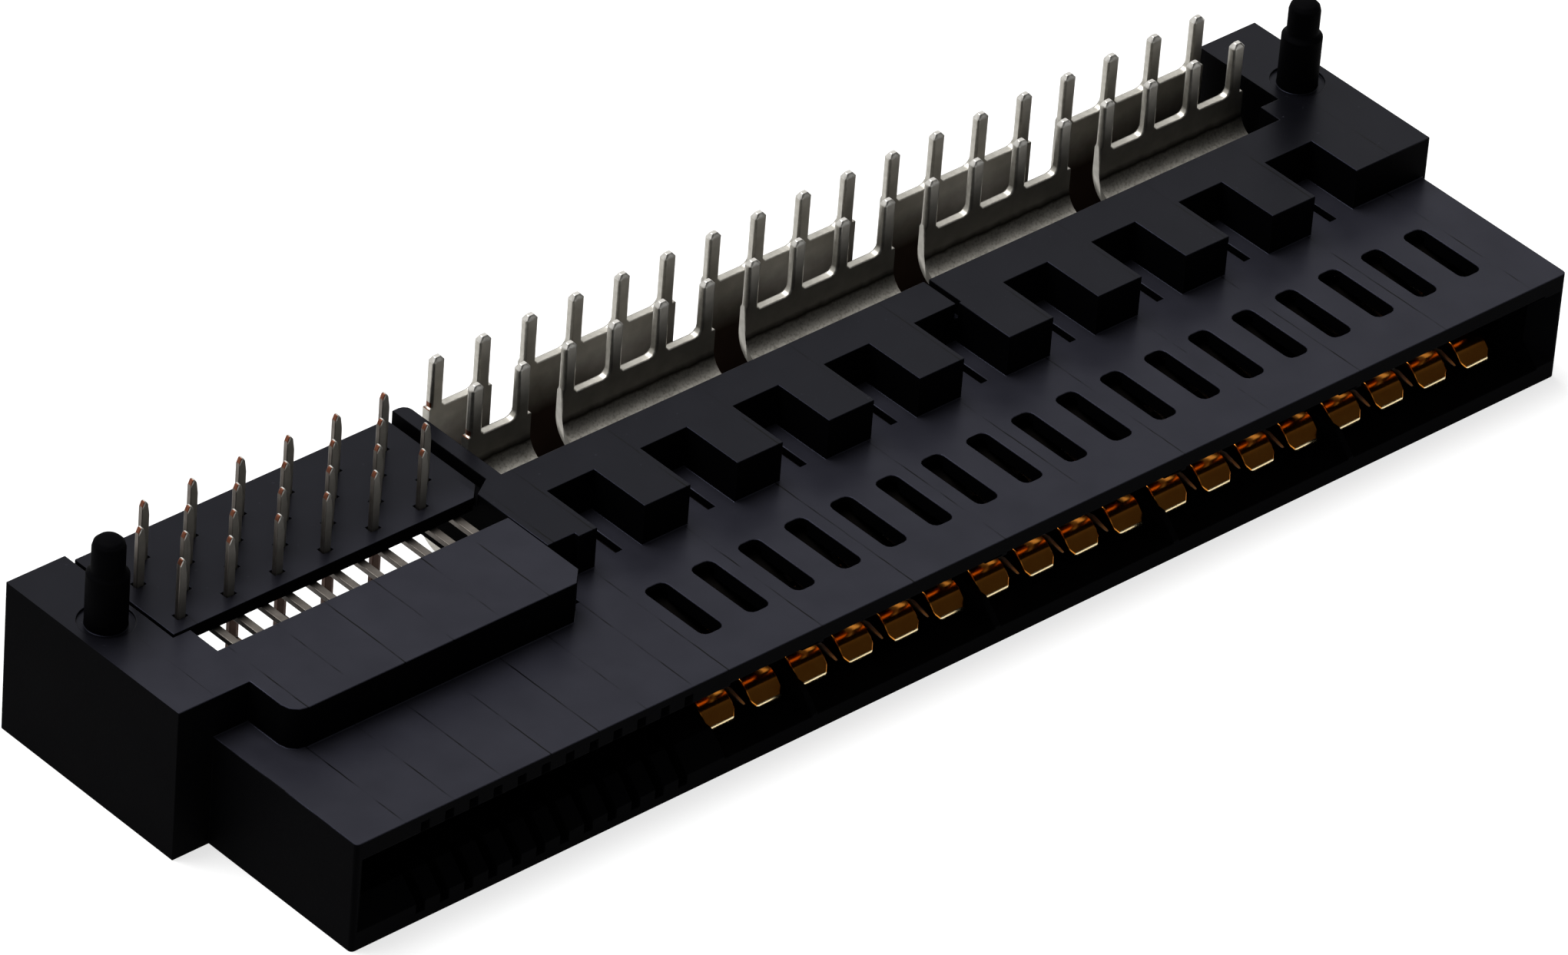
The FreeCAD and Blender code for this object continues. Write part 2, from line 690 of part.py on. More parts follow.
    # free the solder tails from the web, each with a pyramid at its end
    half = "tail_width / 2"
    clear = "power_tail_top + tail_point"
    tab_top = "cut_tab_top" if tab else "web_top"
    ends = new_sketch(body, "tail_ends", "XZ_Plane")
    add_outline(ends, [
        ("0", tab_top),
        ("tail_left", tab_top),
        ("tail_left", "power_tail_top - tail_point"),
        ("tail_axis - tail_nose", "power_tail_top"),
        ("tail_axis - tail_nose", clear),
        ("0", clear),
    ])
    last_axis = "tail_axis + %s" % last
    add_outline(ends, [
        (far, "web_top"),
        (far, clear),
        ("%s + tail_nose" % last_axis, clear),
        ("%s + tail_nose" % last_axis, "power_tail_top"),
        ("%s + %s" % (last_axis, half), "power_tail_top - tail_point"),
        ("%s + %s" % (last_axis, half), "web_top"),
    ])
    pocket(body, ends)
    left_side = "tail_axis + %s" % half
    next_side = "tail_left + power_pitch"
    tail_gap_plan = outline_sketch(
        body, "tail_gap", "XZ_Plane",
        [("%s + tail_heel" % left_side, "web_top")]
        + round_corner(next_side, "web_top", "tail_foot", "-", "+")
        + [
            (next_side, "power_tail_top - tail_point"),
            ("tail_axis + power_pitch - tail_nose", "power_tail_top"),
            ("tail_axis + power_pitch - tail_nose", clear),
            ("tail_axis + tail_nose", clear),
            ("tail_axis + tail_nose", "power_tail_top"),
            (left_side, "power_tail_top - tail_point"),
            (left_side, "web_top + tail_heel"),
        ])
    tail_gap = pocket(body, tail_gap_plan)
    repeat(body, tail_gap, "X_Axis", "power_pitch", "(%s - 1)" % beams)
    return body


contacts = []
for number in range(int(SIZES["full_bays"]) + 1):
    left = "first_bay" if number == 0 else "full_bay + bay_width * %d" % (number - 1)
    beams = "first_bay_beams" if number == 0 else "bay_beams"
    for name, side in (("upper", "+"), ("lower", "-")):
        label = "power_contact_%s_%d" % (name, number + 1)
        contacts.append(make_power_contact(label, left, beams, side, number == 0))


# One signal contact: a narrow strip that steps aside, then up, and ends in its tail
def make_signal_contact(label, column, side):
    body = new_body(label, "first_cavity - signal_pitch * 3 / 2 + signal_pitch * %d" % column)
    tail_row = (0 if side == "+" else 2) + column % 2
    row = "first_row + row_spacing * %d" % tail_row
    tail = "signal_pitch / 2"
    beam = "signal_pitch * 3 / 2"
    half = "strip_width / 2"

    def level(gap):
        return "mid_height %s (%s)" % (side, gap)

    front = [
        ("signal_tip", level("signal_tip_gap")),
        ("signal_crown", level("signal_crown_gap")),
        ("signal_root", level("signal_flat_gap")),
    ]
    rear = [
        ("signal_root", level("signal_flat_gap + signal_sheet")),
        ("signal_crown", level("signal_crown_gap + signal_sheet")),
        ("signal_tip", level("signal_tip_gap + signal_sheet")),
    ]
    if side == "+":
        middle = [
            ("riser", level("signal_flat_gap")),
            ("riser", "lead_top - signal_sheet"),
            ("%s + signal_sheet / 2" % row, "lead_top - signal_sheet"),
            ("%s + signal_sheet / 2" % row, "signal_tail_top"),
            ("%s - signal_sheet / 2" % row, "signal_tail_top"),
            ("%s - signal_sheet / 2" % row, "lead_top"),
            ("riser - signal_sheet", "lead_top"),
            ("riser - signal_sheet", level("signal_flat_gap + signal_sheet")),
        ]
    else:
        middle = [
            ("%s - signal_sheet / 2" % row, level("signal_flat_gap")),
            ("%s - signal_sheet / 2" % row, "signal_tail_top"),
            ("%s + signal_sheet / 2" % row, "signal_tail_top"),
            ("%s + signal_sheet / 2" % row, level("signal_flat_gap + signal_sheet")),
        ]
    profile = outline_sketch(body, "profile", "YZ_Plane", front + middle + rear, "%s - %s" % (tail, half))
    pad(body, profile, "signal_pitch + strip_width")
    plan = new_sketch(body, "plan", "XY_Plane")
    add_outline(plan, [
        ("0", "0"),
        ("%s - %s" % (beam, half), "0"),
        ("%s - %s" % (beam, half), "jog_front"),
        ("%s - %s" % (tail, half), "jog_rear"),
        ("0", "jog_rear"),
    ])
    far = "signal_pitch * 2"
    add_outline(plan, [
        (far, "0"),
        (far, "overall_depth"),
        ("%s + %s" % (tail, half), "overall_depth"),
        ("%s + %s" % (tail, half), "jog_rear"),
        ("%s + %s" % (beam, half), "jog_front"),
        ("%s + %s" % (beam, half), "0"),
    ])
    pocket(body, plan)
    point = new_sketch(body, "point", "XZ_Plane")
    add_outline(point, [
        ("%s + %s" % (tail, half), "signal_tail_top - signal_point"),
        (far, "signal_tail_top - signal_point"),
        (far, "signal_tail_top + signal_point"),
        (tail, "signal_tail_top + signal_point"),
        (tail, "signal_tail_top"),
        ("%s + %s * 2 / 3" % (tail, half), "signal_tail_top - signal_point / 3"),
    ])
    add_outline(point, [
        ("%s - %s" % (tail, half), "signal_tail_top - 2 * signal_nick"),
        ("%s - %s + signal_nick" % (tail, half), "signal_tail_top"),
        ("%s - %s + signal_nick" % (tail, half), "signal_tail_top + signal_point"),
        ("0", "signal_tail_top + signal_point"),
        ("0", "signal_tail_top - 2 * signal_nick"),
    ])
    pocket(body, point)
    return body


for column in range(int(SIZES["signal_count"])):
    contacts.append(make_signal_contact("signal_contact_upper_%02d" % (column + 1), column, "+"))
    contacts.append(make_signal_contact("signal_contact_lower_%02d" % (column + 1), column, "-"))

doc.recompute()
for item in doc.Objects:
    if "Invalid" in item.State or "Error" in item.State:
        raise RuntimeError("%s did not build: %s" % (item.Name, item.State))

os.makedirs("parts", exist_ok=True)
for piece in [housing, organizer] + contacts:
    shape = piece.Shape
    if shape.isNull() or not shape.isValid() or len(shape.Solids) != 1:
        raise RuntimeError("%s is not one sound solid" % piece.Label)
    shape.exportStep("parts/%s.step" % piece.Label)
    print("%-26s volume %9.3f  faces %4d" % (piece.Label, shape.Volume, len(shape.Faces)))
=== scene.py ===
import math
import bpy
from mathutils import Matrix, Vector


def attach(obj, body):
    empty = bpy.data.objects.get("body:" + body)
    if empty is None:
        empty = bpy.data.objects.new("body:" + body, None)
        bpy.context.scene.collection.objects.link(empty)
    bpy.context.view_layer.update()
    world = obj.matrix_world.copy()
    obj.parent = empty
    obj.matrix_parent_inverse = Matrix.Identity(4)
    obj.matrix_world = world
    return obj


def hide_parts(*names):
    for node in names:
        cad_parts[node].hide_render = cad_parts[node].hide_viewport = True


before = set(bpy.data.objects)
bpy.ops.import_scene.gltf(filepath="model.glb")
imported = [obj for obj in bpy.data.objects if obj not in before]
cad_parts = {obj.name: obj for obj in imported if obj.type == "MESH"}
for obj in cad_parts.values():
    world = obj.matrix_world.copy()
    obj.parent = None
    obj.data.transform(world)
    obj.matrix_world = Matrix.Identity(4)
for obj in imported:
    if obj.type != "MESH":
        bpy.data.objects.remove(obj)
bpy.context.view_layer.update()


# Camera
# A long lens looks down on the connector from ahead of its signal end, held a little
# off level, so the mating face and the tops of all the tails are in view.
MM = 0.001
camera_lens = bpy.data.cameras.new("camera")
camera_lens.sensor_width = 36
camera_lens.lens = 276.7
camera_lens.shift_x = 0.0534
camera_lens.shift_y = 0.0259
camera = bpy.data.objects.new("camera", camera_lens)
bpy.context.collection.objects.link(camera)
azimuth, elevation, roll = (math.radians(angle) for angle in (-43.749, 35.769, 4.359))
camera.matrix_world = (
    Matrix.Translation(Vector((-286.17, -292.78, 295.98)) * MM)
    @ Matrix.Rotation(azimuth, 4, "Z")
    @ Matrix.Rotation(math.pi / 2 - elevation, 4, "X")
    @ Matrix.Rotation(roll, 4, "Z"))
bpy.context.scene.camera = camera
bpy.context.scene.view_settings.view_transform = "Standard"


# Floor and light
# The connector lies on a plain white sheet under one broad lamp overhead and behind.
# The studio is white behind it and dim in front, so the mating face stays dark.

# An sRGB hex colour as linear red, green, blue and alpha
def linear(hex_colour):
    channels = [int(hex_colour[i:i + 2], 16) / 255 for i in (1, 3, 5)]
    return [c / 12.92 if c <= 0.04045 else ((c + 0.055) / 1.055) ** 2.4
            for c in channels] + [1.0]


# Add one node with its settings; an input is given by its name, or by _ and its number,
# and is a value or another node's socket
def add_node(tree, kind, settings=(), **inputs):
    node = tree.nodes.new("ShaderNode" + kind)
    for name, setting in dict(settings).items():
        setattr(node, name, setting)
    for name, given in inputs.items():
        socket = node.inputs[int(name[1:]) if name[1:].isdigit() else name.replace("_", " ")]
        if isinstance(given, bpy.types.NodeSocket):
            tree.links.new(given, socket)
        else:
            socket.default_value = given
    return node


# A material whose node tree is still empty
def new_material(name):
    material = bpy.data.materials.new(name)
    material.use_nodes = True
    material.node_tree.nodes.clear()
    return material, material.node_tree


# Rays that show the studio itself: from the camera, mirrored, or passed through
def showing_ray(tree):
    ray = add_node(tree, "LightPath")
    either = add_node(tree, "Math", {"operation": "MAXIMUM"},
                      _0=ray.outputs["Is Camera Ray"], _1=ray.outputs["Is Glossy Ray"])
    return add_node(tree, "Math", {"operation": "MAXIMUM"},
                    _0=either.outputs[0], _1=ray.outputs["Is Transmission Ray"]).outputs[0]


bpy.ops.object.select_all(action="DESELECT")
bpy.ops.mesh.primitive_plane_add(size=3)
floor = bpy.context.object
floor.name = "floor"

# The paper is pale grey with a glow for the rays that show it, so it looks white and
# keeps the connector's shadow.
paper, tree = new_material("white_paper_sheet")
sheet = add_node(tree, "BsdfDiffuse", Color=linear("#acacac"))
glow = add_node(tree, "Emission", Color=linear("#ffffff"), Strength=0.7)
dark = add_node(tree, "Emission", Color=linear("#ffffff"), Strength=0)
lit = add_node(tree, "MixShader", _0=showing_ray(tree), _1=dark.outputs[0],
               _2=glow.outputs[0])
both = add_node(tree, "AddShader", _0=sheet.outputs[0], _1=lit.outputs[0])
add_node(tree, "OutputMaterial", Surface=both.outputs[0])
floor.data.materials.append(paper)

# The studio lights the connector evenly; only rays that show it see its two sides.
world = bpy.data.worlds.new("studio")
bpy.context.scene.world = world
world.use_nodes = True
tree = world.node_tree
tree.nodes.clear()
fill = add_node(tree, "Background", Color=linear("#ffffff"), Strength=0.35)
facing = add_node(tree, "SeparateXYZ",
                  Vector=add_node(tree, "TexCoord").outputs["Generated"])
behind = add_node(tree, "MapRange", {"interpolation_type": "SMOOTHSTEP"},
                  Value=facing.outputs["Y"], From_Min=-0.6, From_Max=0.3,
                  To_Min=0.05, To_Max=1.0)
white = add_node(tree, "Background", Color=linear("#ffffff"), Strength=behind.outputs[0])
chosen = add_node(tree, "MixShader", _0=showing_ray(tree), _1=fill.outputs[0],
                  _2=white.outputs[0])
add_node(tree, "OutputWorld", Surface=chosen.outputs[0])

light = bpy.data.lights.new("overhead_lamp", "AREA")
light.shape = "DISK"
light.size = 0.5
light.energy = 7.5
lamp = bpy.data.objects.new("overhead_lamp", light)
bpy.context.collection.objects.link(lamp)
lamp.location = (-0.1, 0.25, 0.7)
lamp.rotation_euler = (-lamp.location).to_track_quat("-Z", "Y").to_euler()


# Housing
# One moulding of black glass-filled thermoplastic. The steel of its mould is ground on
# the side that will meet the circuit board and spark-eroded everywhere else.

# Sizes in mm, from the middle of the connector and up from its underside
WIDEST_EDGE = 0.16
SHROUD_TOP = 5.4
SEAT = 7.4
SPACER_RIGHT = -15.48
SPACER_BACK = 1.4


# A copy of the solid whose sharp edges are rounded; edge_width gives each one's width in
# mm, blunt is the height at which its points are pressed flat, and levels are heights
# at which its faces are divided, because an edge's width or the finish changes there
def formed_copy(name, node, edge_width, blunt=None, levels=()):
    bpy.ops.object.select_all(action="DESELECT")
    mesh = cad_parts[node].data.copy()
    piece = bpy.data.objects.new(name, mesh)
    bpy.context.collection.objects.link(piece)
    piece.select_set(True)
    bpy.context.view_layer.objects.active = piece
    bpy.ops.object.mode_set(mode="EDIT")
    bpy.ops.mesh.select_all(action="SELECT")
    bpy.ops.mesh.remove_doubles(threshold=0.002 * MM)
    if blunt:
        bpy.ops.mesh.bisect(plane_co=(0, 0, blunt * MM), plane_no=(0, 0, 1), use_fill=True,
                            clear_outer=True)
        bpy.ops.mesh.select_all(action="SELECT")
    bpy.ops.mesh.dissolve_limited(angle_limit=math.radians(0.5))
    for level in levels:
        bpy.ops.mesh.select_all(action="SELECT")
        bpy.ops.mesh.bisect(plane_co=(0, 0, level * MM), plane_no=(0, 0, 1))
    bpy.ops.mesh.select_mode(type="EDGE")
    bpy.ops.mesh.select_all(action="DESELECT")
    bpy.ops.mesh.edges_select_sharp(sharpness=math.radians(35))
    bpy.ops.object.mode_set(mode="OBJECT")
    weights = mesh.attributes.new("bevel_weight_edge", "FLOAT", "EDGE")
    for edge in mesh.edges:
        if edge.select:
            ends = [mesh.vertices[i].co / MM for i in edge.vertices]
            weights.data[edge.index].value = edge_width(*ends) / WIDEST_EDGE
    bpy.ops.object.shade_smooth_by_angle(angle=math.radians(35))
    rounding = piece.modifiers.new("rounded_edges", "BEVEL")
    rounding.width = WIDEST_EDGE * MM
    rounding.segments = 2
    rounding.limit_method = "WEIGHT"
    rounding.use_clamp_overlap = False
    bpy.ops.object.modifier_apply(modifier=rounding.name)
    bpy.ops.object.shade_smooth_by_angle(angle=math.radians(40))
    flatness = piece.modifiers.new("flat_faces_stay_flat", "WEIGHTED_NORMAL")
    flatness.weight = 100
    flatness.keep_sharp = True
    bpy.ops.object.modifier_apply(modifier=flatness.name)
    piece.data.materials.clear()
    return piece


# Give each face the finish chosen for its middle in mm, its normal and its width along X
def finish_faces(piece, finishes, choose):
    for finish in finishes:
        piece.data.materials.append(finish)
    for face in piece.data.polygons:
        across = [piece.data.vertices[i].co.x / MM for i in face.vertices]
        finish = choose(face.center / MM, face.normal, max(across) - min(across))
        face.material_index = finishes.index(finish)


# Spark-eroded thermoplastic: near black and matte, with a grain of about 0.1 mm.
# Here and below, a noise's scale is written as its cells per mm, divided by MM.
eroded, tree = new_material("spark_eroded_black_thermoplastic")
place = add_node(tree, "TexCoord").outputs["Object"]
patches = add_node(tree, "TexNoise", Vector=place, Scale=0.3 / MM, Detail=3.0)
tone = add_node(tree, "Mix", {"data_type": "RGBA"}, Factor=patches.outputs[0],
                _6=linear("#020203"), _7=linear("#060607"))
grain = add_node(tree, "TexNoise", Vector=place, Scale=10 / MM, Detail=2.0)
relief = add_node(tree, "Bump", Strength=0.3, Distance=0.02 * MM, Height=grain.outputs[0])
shader = add_node(tree, "BsdfPrincipled", Base_Color=tone.outputs[2], Roughness=0.65,
                  Specular_IOR_Level=0.01, Normal=relief.outputs[0])
add_node(tree, "OutputMaterial", Surface=shader.outputs[0])

# Ground-mould thermoplastic: a satin face that mirrors the pale surroundings as a dark bluish
# grey, with a few fibres and, ahead of the tails, faint witness lines between the mould's
# inserts. The shroud and the spacer block over the mating slot have a paler painted sheen in
# their colour; the blocks behind them keep the deep tone.
ground_and_painted_sheen, tree = new_material("satin_black_thermoplastic_painted_sheen")
place = add_node(tree, "TexCoord").outputs["Object"]
axes = add_node(tree, "SeparateXYZ", Vector=place)

# The lines are about 0.02 mm wide and are drawn 0.04 mm wide with soft sides, so that
# they show. Each run has its first line, its spacing and its left and right ends.
wander = add_node(tree, "TexNoise", Vector=place, Scale=0.9 / MM, Detail=2.0)
drift = add_node(tree, "Math", {"operation": "MULTIPLY_ADD"}, _0=wander.outputs[0],
                 _1=0.06 * MM, _2=axes.outputs["X"])
lines = None
for first, spacing, left, right in ((-25.25, 2.54, -32.9, -13.5), (-8.13, 5.08, -13.5, 32.9)):
    shift = add_node(tree, "Math", {"operation": "SUBTRACT"}, _0=drift.outputs[0],
                     _1=first * MM)
    gap = add_node(tree, "Math", {"operation": "PINGPONG"}, _0=shift.outputs[0],
                   _1=spacing / 2 * MM)
    line = add_node(tree, "MapRange", Value=gap.outputs[0], From_Min=0.02 * MM,
                    From_Max=0.045 * MM, To_Min=1.0, To_Max=0.0)
    after_left = add_node(tree, "Math", {"operation": "GREATER_THAN"}, _0=axes.outputs["X"],
                          _1=left * MM)
    before_right = add_node(tree, "Math", {"operation": "LESS_THAN"}, _0=axes.outputs["X"],
                            _1=right * MM)
    inside = add_node(tree, "Math", {"operation": "MULTIPLY"}, _0=after_left.outputs[0],
                      _1=before_right.outputs[0])
    line = add_node(tree, "Math", {"operation": "MULTIPLY"}, _0=line.outputs[0],
                    _1=inside.outputs[0])
    if lines:
        line = add_node(tree, "Math", {"operation": "MAXIMUM"}, _0=lines.outputs[0],
                        _1=line.outputs[0])
    lines = line
breaks = add_node(tree, "TexNoise", Vector=place, Scale=0.5 / MM, Detail=3.0)
strength = add_node(tree, "MapRange", Value=breaks.outputs[0], From_Min=0.4, From_Max=0.62)
faint = add_node(tree, "Math", {"operation": "MULTIPLY"}, _0=lines.outputs[0],
                 _1=strength.outputs[0])
ahead = add_node(tree, "MapRange", {"interpolation_type": "SMOOTHSTEP"},
                 Value=axes.outputs["Y"], From_Min=5.2 * MM,
                 From_Max=SPACER_BACK * MM)
faint = add_node(tree, "Math", {"operation": "MULTIPLY"}, _0=faint.outputs[0],
                 _1=ahead.outputs[0])

# Behind the spacer block the painted sheen fades out over nearly 4 mm.
patches = add_node(tree, "TexNoise", Vector=place, Scale=0.5 / MM, Detail=6.0)
deep = add_node(tree, "Mix", {"data_type": "RGBA"}, Factor=patches.outputs[0],
                _6=linear("#020203"), _7=linear("#0a0a0d"))
# The pale tone is a painted sheen: a bluish grey standing in for the light mirrored by the
# lower tops.
painted_sheen_tone = add_node(tree, "Mix", {"data_type": "RGBA"}, Factor=patches.outputs[0],
                _6=linear("#16161b"), _7=linear("#232329"))
by_signals = add_node(tree, "Math", {"operation": "LESS_THAN"}, _0=axes.outputs["X"],
                      _1=SPACER_RIGHT * MM)
spacer = add_node(tree, "Math", {"operation": "MULTIPLY"}, _0=by_signals.outputs[0],
                  _1=ahead.outputs[0])
raised = add_node(tree, "MapRange", Value=axes.outputs["Z"],
                  From_Min=(SHROUD_TOP + 0.6) * MM, From_Max=(SHROUD_TOP + 0.8) * MM)
block = add_node(tree, "Math", {"operation": "SUBTRACT", "use_clamp": True},
                 _0=raised.outputs[0], _1=spacer.outputs[0])
tone = add_node(tree, "Mix", {"data_type": "RGBA"}, Factor=block.outputs[0],
                _6=painted_sheen_tone.outputs[2], _7=deep.outputs[2])

# The glass fibres are about 0.01 mm thick and are drawn as flecks of 0.2 mm, so that
# they show. The lines come after them and neither shine nor turn blue.
fibres = add_node(tree, "TexNoise", Vector=place, Scale=5 / MM, Detail=1.0)
fleck = add_node(tree, "MapRange", Value=fibres.outputs[0], From_Min=0.72, From_Max=0.82)
tone = add_node(tree, "Mix", {"data_type": "RGBA"}, Factor=fleck.outputs[0],
                _6=tone.outputs[2], _7=linear("#1d1d22"))
tone = add_node(tree, "Mix", {"data_type": "RGBA"}, Factor=faint.outputs[0],
                _6=tone.outputs[2], _7=linear("#020202"))
tint = add_node(tree, "Mix", {"data_type": "RGBA"}, Factor=faint.outputs[0],
                _6=linear("#cdd2ff"), _7=linear("#303030"))
grain = add_node(tree, "TexNoise", Vector=place, Scale=14 / MM, Detail=2.0)
relief = add_node(tree, "Bump", Strength=0.06, Distance=0.01 * MM, Height=grain.outputs[0])
shader = add_node(tree, "BsdfPrincipled", Base_Color=tone.outputs[2], Roughness=0.32,
                  Specular_IOR_Level=0.1, Specular_Tint=tint.outputs[2],
                  Normal=relief.outputs[0])
add_node(tree, "OutputMaterial", Surface=shader.outputs[0])


# The top faces are satin, except on the pegs and on the partition between the tails,
# which stands within these lines once it has turned
PARTITION_FRONT, PARTITION_LEFT, PARTITION_RIGHT = 3.9, -15.5, -13.7


def housing_finish(middle, normal, width):
    on_partition = (middle.y > PARTITION_FRONT
                    and PARTITION_LEFT < middle.x < PARTITION_RIGHT)
    on_top = SHROUD_TOP - 0.1 < middle.z < SEAT + 0.1 and normal.z > 0.3
    return ground_and_painted_sheen if on_top and not on_partition else eroded


housing = formed_copy("moulded_housing", "housing", lambda a, b: 0.03)
finish_faces(housing, (eroded, ground_and_painted_sheen), housing_finish)
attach(housing, "root")
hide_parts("housing")


# Tail organizer
# A thin plate moulded in the same thermoplastic. It slides over the signal tails, lies in
# a recess of the housing and keeps the tails on their grid.
def organizer_finish(middle, normal, width):
    return ground_and_painted_sheen if normal.z > 0.3 else eroded


organizer = formed_copy("tail_organizer_plate", "tail_organizer", lambda a, b: 0.02)
finish_faces(organizer, (eroded, ground_and_painted_sheen), organizer_finish)
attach(organizer, "root")
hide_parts("tail_organizer")


# Power contacts
# Two rows of contacts stamped from copper-alloy strip and bent to form, tin plated on
# the tails and gold plated on the spring beams in the mouth.

# Places from left to right, then from the beams' tips back to the rows of tails, then
# heights from the strip's flat to the tails' points
POWER_PITCH = 2.54
FIRST_FINGER = -10.67
CUT_SIDE = -12.85
BEAM_TIP = -8.57
CROWN_BACK = -6.5
BEAM_ROOT = -2.5
WEB_STEP = 2.5
BAND_BACK = 3.8
BETWEEN_ROWS = 8
FLAT_LOW, FLAT_HIGH = 3, 5.2
CUT_FROM = 5.5
WEB_FOOT = 6
WEB_TOP = 7.1
COINED_FROM = 7.46
POINT_FOOT = 9.46
TAIL_FLAT = 9.68

# Tin over rolled strip: a warm grey satin with a slightly cloudy look. On the front row a
# line of painted shade lies at about 5.8 mm, where the bend begins, with a mottled painted
# shade below. On the rear row a brown painted shade deepens towards the foot of the web.
rolled, tree = new_material("tin_plated_rolled_strip_painted_shade")
place = add_node(tree, "TexCoord").outputs["Object"]
axes = add_node(tree, "SeparateXYZ", Vector=place)
clouds = add_node(tree, "TexNoise", Vector=place, Scale=1.5 / MM, Detail=4.0)
tin = add_node(tree, "Mix", {"data_type": "RGBA"}, Factor=clouds.outputs[0],
               _6=linear("#a39f96"), _7=linear("#c9c5bc"))
height = add_node(tree, "Math", {"operation": "MULTIPLY_ADD"}, _0=clouds.outputs[0],
                  _1=0.2 * MM, _2=axes.outputs["Z"])
# Painted shade: a dark line where the bend begins, and dark mottling below it, on the front
# row.
web = add_node(tree, "MapRange", Value=height.outputs[0], From_Min=5.92 * MM,
               From_Max=6.2 * MM)
bend = add_node(tree, "MapRange", Value=height.outputs[0], From_Min=5.9 * MM,
                From_Max=5.78 * MM)
mottle = add_node(tree, "TexNoise", Vector=place, Scale=9 / MM, Detail=2.0)
speck = add_node(tree, "MapRange", Value=mottle.outputs[0], From_Min=0.3, From_Max=0.55,
                 To_Min=0.55, To_Max=1.0)
band = add_node(tree, "Math", {"operation": "MULTIPLY"}, _0=bend.outputs[0],
                _1=speck.outputs[0])
rear_row = add_node(tree, "Math", {"operation": "GREATER_THAN"}, _0=axes.outputs["Y"],
                    _1=BETWEEN_ROWS * MM)
unshaded = add_node(tree, "Math", {"operation": "MAXIMUM"}, _0=web.outputs[0],
                 _1=band.outputs[0])
unshaded = add_node(tree, "Math", {"operation": "MAXIMUM"}, _0=unshaded.outputs[0],
                 _1=rear_row.outputs[0])
tone = add_node(tree, "Mix", {"data_type": "RGBA"}, Factor=unshaded.outputs[0],
                _6=linear("#4a443c"), _7=tin.outputs[2])
# Painted shade: the rear row darkens to brown towards the foot of its web.
depth = add_node(tree, "MapRange", Value=height.outputs[0], From_Min=6.6 * MM,
                 From_Max=4.6 * MM)
rear_painted_shade = add_node(tree, "Math", {"operation": "MULTIPLY"}, _0=depth.outputs[0],
                 _1=rear_row.outputs[0])
tone = add_node(tree, "Mix", {"data_type": "RGBA"}, Factor=rear_painted_shade.outputs[0],
                _6=tone.outputs[2], _7=linear("#3a2a22"))
shader = add_node(tree, "BsdfPrincipled", Base_Color=tone.outputs[2], Roughness=0.5,
                  Metallic=1.0)
add_node(tree, "OutputMaterial", Surface=shader.outputs[0])


# A metal surface whose colour drifts between two tones in clouds, so many to the mm
def cloudy_metal(name, deep, light, clouds_per_mm, detail, roughness):
    metal, tree = new_material(name)
    place = add_node(tree, "TexCoord").outputs["Object"]
    clouds = add_node(tree, "TexNoise", Vector=place, Scale=clouds_per_mm / MM,
                      Detail=detail)
    tone = add_node(tree, "Mix", {"data_type": "RGBA"}, Factor=clouds.outputs[0],
                    _6=linear(deep), _7=linear(light))
    shader = add_node(tree, "BsdfPrincipled", Base_Color=tone.outputs[2],
                      Roughness=roughness, Metallic=1.0)
    add_node(tree, "OutputMaterial", Surface=shader.outputs[0])
    return metal


# Tin over sheared edges: a little darker than the rolled faces, smoother and glossier.
sheared = cloudy_metal("tin_plated_sheared_edge", "#8e8b83", "#b9b6ae", 4, 2.0, 0.38)
# Gold over nickel: a deep yellow that turns orange brown where it mirrors dark plastic.
gold = cloudy_metal("gold_plated_spring_beam", "#b56a22", "#d08a38", 1.2, 3.0, 0.15)
# Copper alloy laid bare where a contact is cut from its strip: a dull red brown.
bare = cloudy_metal("bare_copper_alloy_cut", "#42251a", "#84513c", 5, 3.0, 0.42)
# A painted highlight on each beam's coined tip: a pale cream yellow.
tip_highlight = cloudy_metal("gold_tip_painted_highlight", "#e8c888", "#fff0cc", 6, 2.0, 0.2)
# A painted highlight on the points of the tails and on the fingers between the beams: a paler
# tin.
bright = cloudy_metal("tin_painted_highlight", "#a5a29b", "#d6d4cf", 4, 2.0, 0.4)
# Painted shade on the strip inside the housing and on the signal beams: a dull, nearly black
# metal.
painted_shade_metal = cloudy_metal("copper_alloy_painted_shade", "#070606", "#100e0c", 1.5, 3.0, 0.6)


# Inside the housing the upper contacts are painted in shade on top. The fingers and the
# tails' points carry a painted highlight, the beams are gold with a painted highlight at
# their tips, and the sides of webs and tails are sheared.
def power_finish(middle, normal, width):
    if middle.y < BAND_BACK and FLAT_LOW < middle.z < FLAT_HIGH and normal.z > 0.2:
        return painted_shade_metal
    past_finger = (middle.x - FIRST_FINGER + POWER_PITCH / 2) % POWER_PITCH
    on_finger = abs(past_finger - POWER_PITCH / 2) < 0.3 and width < 0.4
    if middle.y < BEAM_ROOT - 0.1:
        if on_finger:
            return bright
        return tip_highlight if middle.y < BEAM_TIP + 0.1 else gold
    if middle.z > POINT_FOOT - 0.01 and normal.z > 0.3:
        return bright
    if normal.x < -0.5 and middle.x < CUT_SIDE and CUT_FROM < middle.z < COINED_FROM:
        return bare
    if abs(normal.x) > 0.3 or normal.z > 0.35 and middle.z > WEB_FOOT:
        return sheared
    return rolled


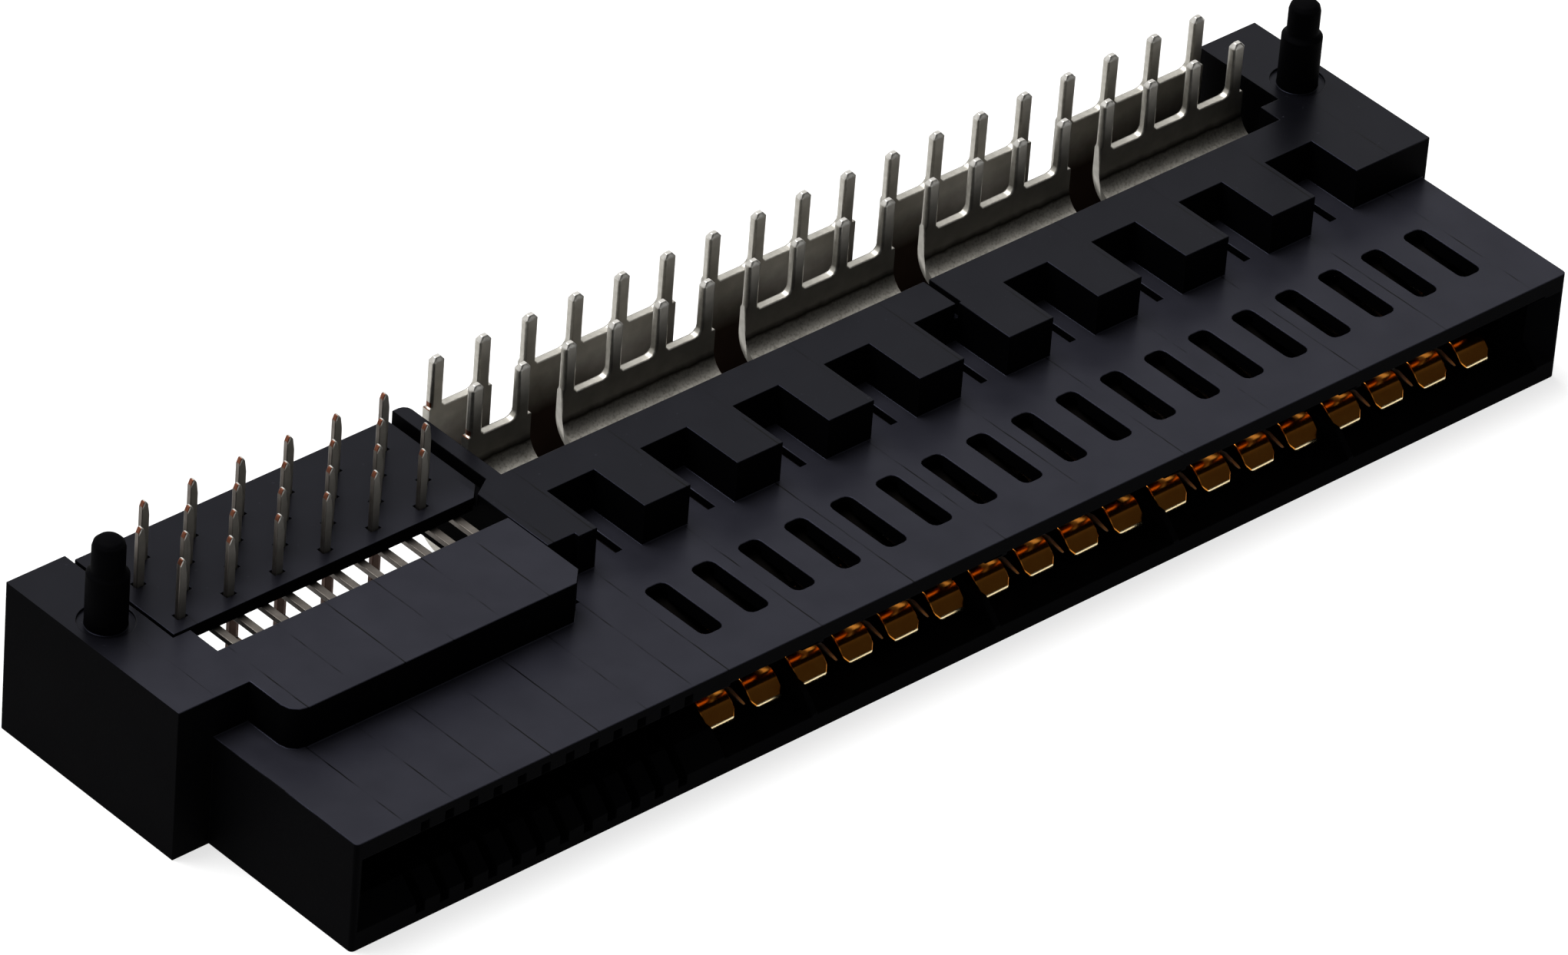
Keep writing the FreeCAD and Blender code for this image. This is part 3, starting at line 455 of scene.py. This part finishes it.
# The tips and crowns of the beams are coined, the tails are coined nearly round above
# the web, the strip's own ends stay as sheared and all other edges are small
def power_edge(a, b):
    if max(a.y, b.y) < CROWN_BACK:
        return 0.07
    if max(a.z, b.z) > TAIL_FLAT - 0.01:
        return 0.02
    height = (a.z + b.z) / 2
    if height > POINT_FOOT - 0.06:
        return 0.06
    behind_step = max(a.y, b.y) > WEB_STEP + 0.1
    if abs(a.x - b.x) < 0.001 and min(a.z, b.z) < WEB_TOP - 0.1 and behind_step:
        return 0
    above_web = (height - WEB_TOP - 0.05) / 0.3
    return 0.04 + 0.12 * min(max(above_web, 0), 1)


for node in sorted(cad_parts):
    if node.startswith("power_contact"):
        contact = formed_copy("plated_" + node, node, power_edge, TAIL_FLAT, (COINED_FROM,))
        finish_faces(contact, (rolled, sheared, gold, bare, tip_highlight, bright, painted_shade_metal),
                     power_finish)
        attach(contact, "root")
        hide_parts(node)


# Signal contacts
# Narrow strips of the same alloy, tin plated, whose leads bend under the organizer and
# whose tails stand in its four rows of holes.
JOG_FRONT = -2.4
LEAD_TOP = 6.74
TIP_FROM = 9.95

# Tin on the leads under the organizer and on the left sides of the tails: a darker brownish
# grey, partly real stain and partly painted shade.
stain_and_painted_shade = cloudy_metal("tin_strip_stain_and_painted_shade", "#4c4641", "#7d7872", 1.8, 4.0, 0.4)
# Painted shade on the lower leads under the organizer: a dark brown with a soft shine.
painted_shade_lead = cloudy_metal("copper_alloy_lead_painted_shade", "#2b1c17", "#5a463c", 2.5, 3.0, 0.4)


# The beams are in painted shade up to the jog that each lead makes, and the tails have a
# painted highlight or bare metal at their tips and a partly painted shade on their left sides
def upper_signal_finish(middle, normal, width):
    if middle.y < JOG_FRONT - 0.1:
        return painted_shade_metal
    if middle.z > TIP_FROM:
        return bare if normal.x < -0.3 else bright
    if middle.z < LEAD_TOP or normal.x < -0.3:
        return stain_and_painted_shade
    return sheared if normal.x > 0.3 else rolled


# The lower row's leads get a still darker painted shade where they pass under the organizer
def lower_signal_finish(middle, normal, width):
    if middle.y > JOG_FRONT - 0.1 and middle.z < LEAD_TOP:
        return painted_shade_lead
    return upper_signal_finish(middle, normal, width)


# The tips of the tails are rounded off and all other edges stay as sheared
def signal_edge(a, b):
    return 0.07 if min(a.z, b.z) > LEAD_TOP + 0.1 else 0.02


for node in sorted(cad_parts):
    if node.startswith("signal_contact"):
        contact = formed_copy("plated_" + node, node, signal_edge, levels=(LEAD_TOP,))
        lower = node.startswith("signal_contact_lower")
        finish_faces(contact, (rolled, sheared, bare, painted_shade_metal, stain_and_painted_shade, bright, painted_shade_lead),
                     lower_signal_finish if lower else upper_signal_finish)
        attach(contact, "root")
        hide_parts(node)
